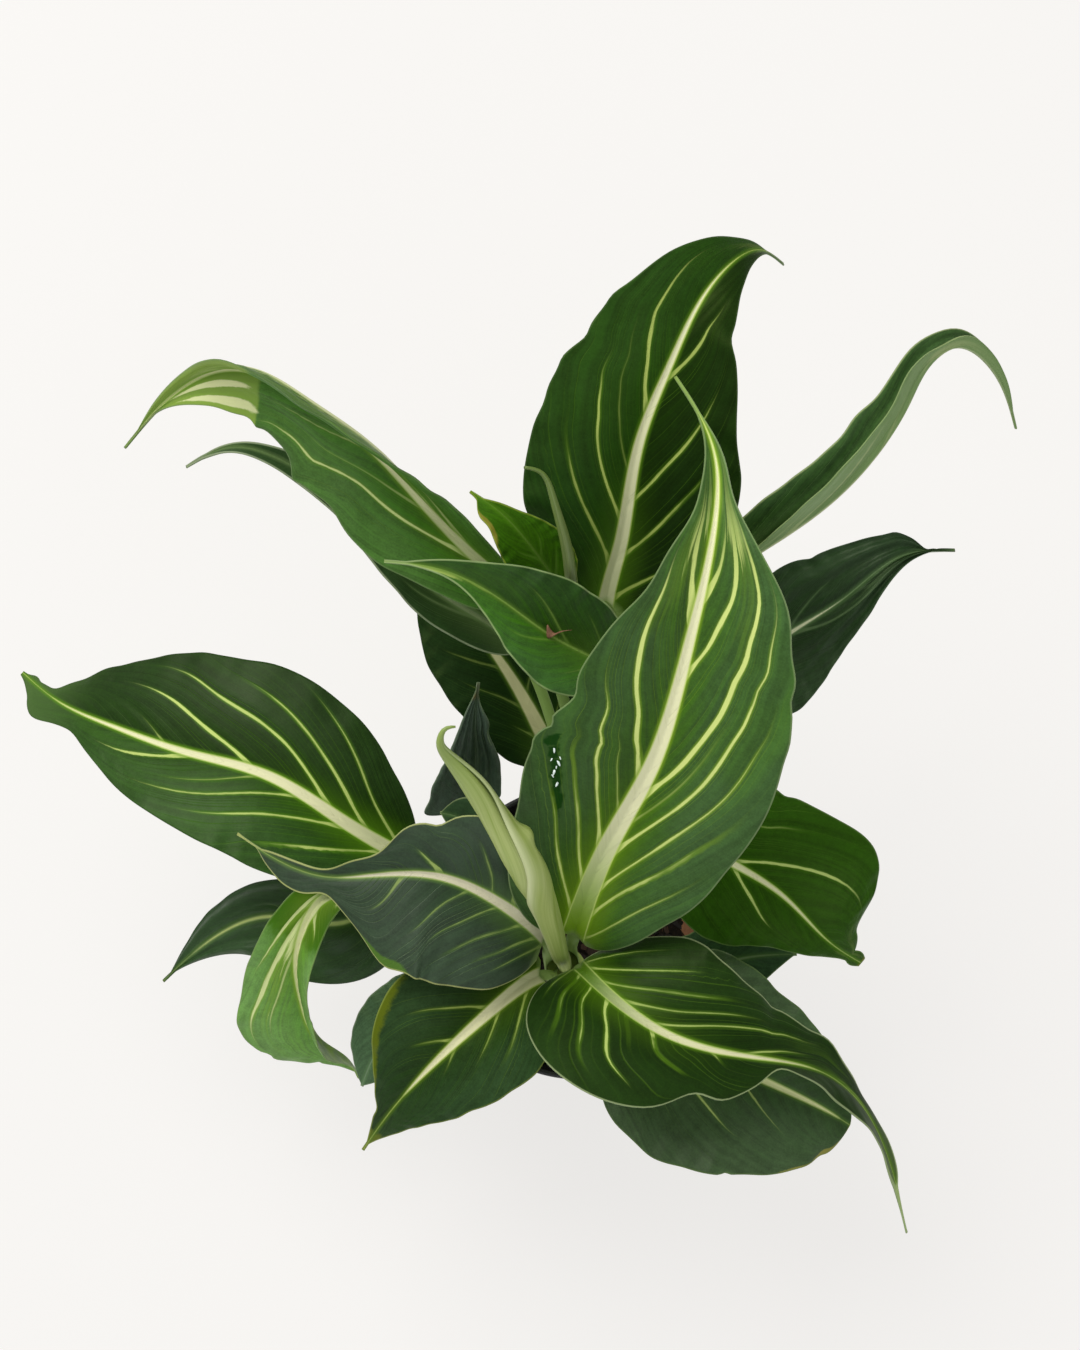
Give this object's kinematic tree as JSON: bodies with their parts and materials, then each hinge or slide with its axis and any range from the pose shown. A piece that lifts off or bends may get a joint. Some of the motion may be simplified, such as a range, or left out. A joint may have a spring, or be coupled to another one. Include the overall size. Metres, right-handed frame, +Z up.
{
  "type": "potted dieffenbachia",
  "caption": "House plant in a round black nursery pot: three short canes with broad pointed leaves on petioles, two rolled new leaves, and soil.",
  "frame": {"origin": "centre of the pot's flat foot, on the surface it stands on", "axes": "+Z up through the pot; +Y the side that the tallest leaf leans to; +X to the right seen from the front"},
  "size_m": [0.4675, 0.4241, 0.413],
  "materials": {
    "pot": "moulded black polypropylene, fine satin",
    "soil": "damp dark potting mix with bark and coir",
    "cane": "fresh green cane with pale leaf scars",
    "leaf": "satin dark green leaf with cream midrib and yellow-green side veins",
    "new_leaf": "satin light green rolled leaf"
  },
  "bodies": {
    "root": {"pot": "pot", "soil": "soil", "cane_front": "cane", "cane_back": "cane", "cane_left": "cane", "leaf_tallest": "leaf", "leaf_front_right": "leaf", "leaf_front_left": "leaf", "leaf_left": "leaf", "leaf_front_low": "leaf", "leaf_right_small": "leaf", "leaf_back": "leaf", "leaf_back_right": "leaf", "leaf_right": "leaf", "leaf_right_low": "leaf", "leaf_back_left": "leaf", "leaf_back_left_low": "leaf", "leaf_centre_left": "leaf", "leaf_back_folded": "leaf", "leaf_back_small": "leaf", "leaf_left_broad": "leaf", "leaf_left_dark": "leaf", "leaf_left_curled": "leaf", "leaf_left_pale": "leaf", "leaf_centre_narrow": "leaf", "leaf_centre_low": "leaf", "spear_front": "new_leaf", "spear_back": "new_leaf"}
  },
  "joints": []
}
